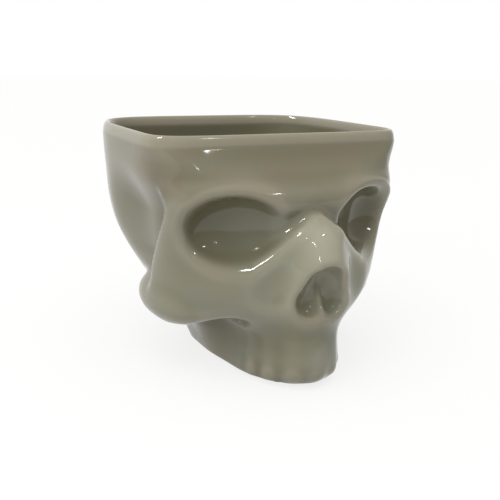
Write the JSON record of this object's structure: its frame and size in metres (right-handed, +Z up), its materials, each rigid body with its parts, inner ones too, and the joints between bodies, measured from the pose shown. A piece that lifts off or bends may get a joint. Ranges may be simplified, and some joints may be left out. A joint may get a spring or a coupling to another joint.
{
  "type": "skull shaped candy bowl",
  "caption": "Open glazed ceramic bowl shaped like a skull without its lower jaw, cut off flat above the brow, for candy or small treats, standing on rubber pads.",
  "frame": {"origin": "middle of the bounding box at its bottom, on the surface that the pads stand on", "axes": "+Z up, the face looks along -Y, +X to the left of the face, which is the right of somebody looking at it"},
  "size_m": [0.1446, 0.1584, 0.1235],
  "materials": {
    "glazed_ceramic": "glossy olive grey glaze, bare pale clay under the foot",
    "pad_rubber": "matte"
  },
  "bodies": {
    "root": {"skull_bowl": "glazed_ceramic", "foot_pad_front_left": "pad_rubber", "foot_pad_front_right": "pad_rubber", "foot_pad_back_left": "pad_rubber", "foot_pad_back_right": "pad_rubber"}
  },
  "joints": []
}
